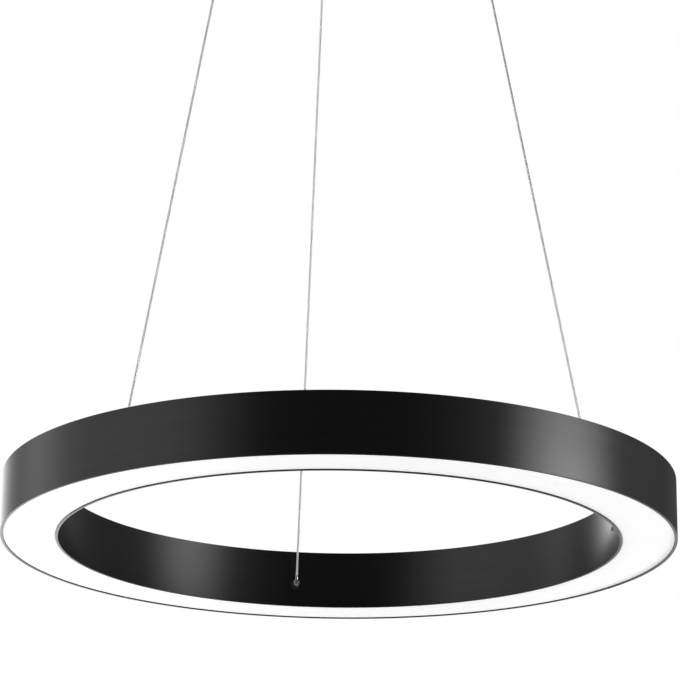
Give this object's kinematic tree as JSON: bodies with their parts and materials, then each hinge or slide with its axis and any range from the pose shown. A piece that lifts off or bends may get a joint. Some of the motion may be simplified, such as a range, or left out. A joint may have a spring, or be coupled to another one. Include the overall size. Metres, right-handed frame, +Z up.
{
  "type": "led pendant light",
  "caption": "Black brushed ring lamp with a glowing opal underside, hung by slanting thin wires from a round ceiling canopy with push-release wire grippers.",
  "frame": {"origin": "on the ceiling, at the middle of the bracket's upper face and on the ring's axis", "axes": "+Z up into the ceiling along the ring's axis, +X along the bracket's bar and its two slots"},
  "size_m": [0.7, 0.7, 0.96],
  "materials": {
    "black_aluminium": "black anodised, brushed round the ring",
    "opal": "opal acrylic, lit from behind",
    "bare_aluminium": "mill finish",
    "board_white": "white solder mask",
    "phosphor": "yellow phosphor under clear resin",
    "black_steel": "black oxide",
    "polished_nickel": "polished nickel plate on brass",
    "spring_steel": "drawn wire",
    "nylon": "black nylon",
    "wire_rope": "stranded steel in a clear sheath",
    "black_paint": "satin black",
    "zinc_steel": "zinc plated",
    "white_plastic": "moulded",
    "board_green": "green solder mask",
    "tape_yellow": "taped winding",
    "brass": "bare"
  },
  "bodies": {
    "canopy": {"canopy_cover": "black_paint", "ceiling_bracket": "zinc_steel", "canopy_screws": "black_steel", "driver_case": "white_plastic", "driver_lid": "white_plastic", "driver_board": "board_green", "driver_transformer": "tape_yellow", "driver_screws": "zinc_steel", "terminal_block": "white_plastic", "earth_screw": "brass", "gripper_bodies": "polished_nickel", "gripper_bushes": "nylon", "gripper_nuts": "nylon", "gripper_spring_1": "spring_steel", "gripper_spring_2": "spring_steel", "gripper_spring_3": "spring_steel", "wire_1": "wire_rope", "wire_2": "wire_rope", "wire_3": "wire_rope", "wire_tails": "wire_rope"},
    "ring": {"ring_profile": "black_aluminium", "diffuser": "opal", "led_tray": "bare_aluminium", "led_boards": "board_white", "led_chips": "phosphor", "tray_screws": "black_steel", "wire_anchors": "polished_nickel", "anchor_bushes": "nylon", "anchor_nuts": "nylon"},
    "plunger_1": {"plunger_1": "polished_nickel"},
    "plunger_2": {"plunger_2": "polished_nickel"},
    "plunger_3": {"plunger_3": "polished_nickel"}
  },
  "joints": [
    {"name": "height", "type": "slide", "parent": "canopy", "child": "ring", "axis": [0, 0, 1], "range_m": [0, 0.3], "deforming": ["wire_1", "wire_2", "wire_3"]},
    {"name": "plunger_1_push", "type": "slide", "parent": "canopy", "child": "plunger_1", "axis": [0, 0, 1], "range_m": [0, 0.0025], "stiffness_N_per_m": 200, "springref_m": -0.006, "deforming": ["gripper_spring_1"]},
    {"name": "plunger_2_push", "type": "slide", "parent": "canopy", "child": "plunger_2", "axis": [0, 0, 1], "range_m": [0, 0.0025], "stiffness_N_per_m": 200, "springref_m": -0.006, "deforming": ["gripper_spring_2"]},
    {"name": "plunger_3_push", "type": "slide", "parent": "canopy", "child": "plunger_3", "axis": [0, 0, 1], "range_m": [0, 0.0025], "stiffness_N_per_m": 200, "springref_m": -0.006, "deforming": ["gripper_spring_3"]}
  ]
}
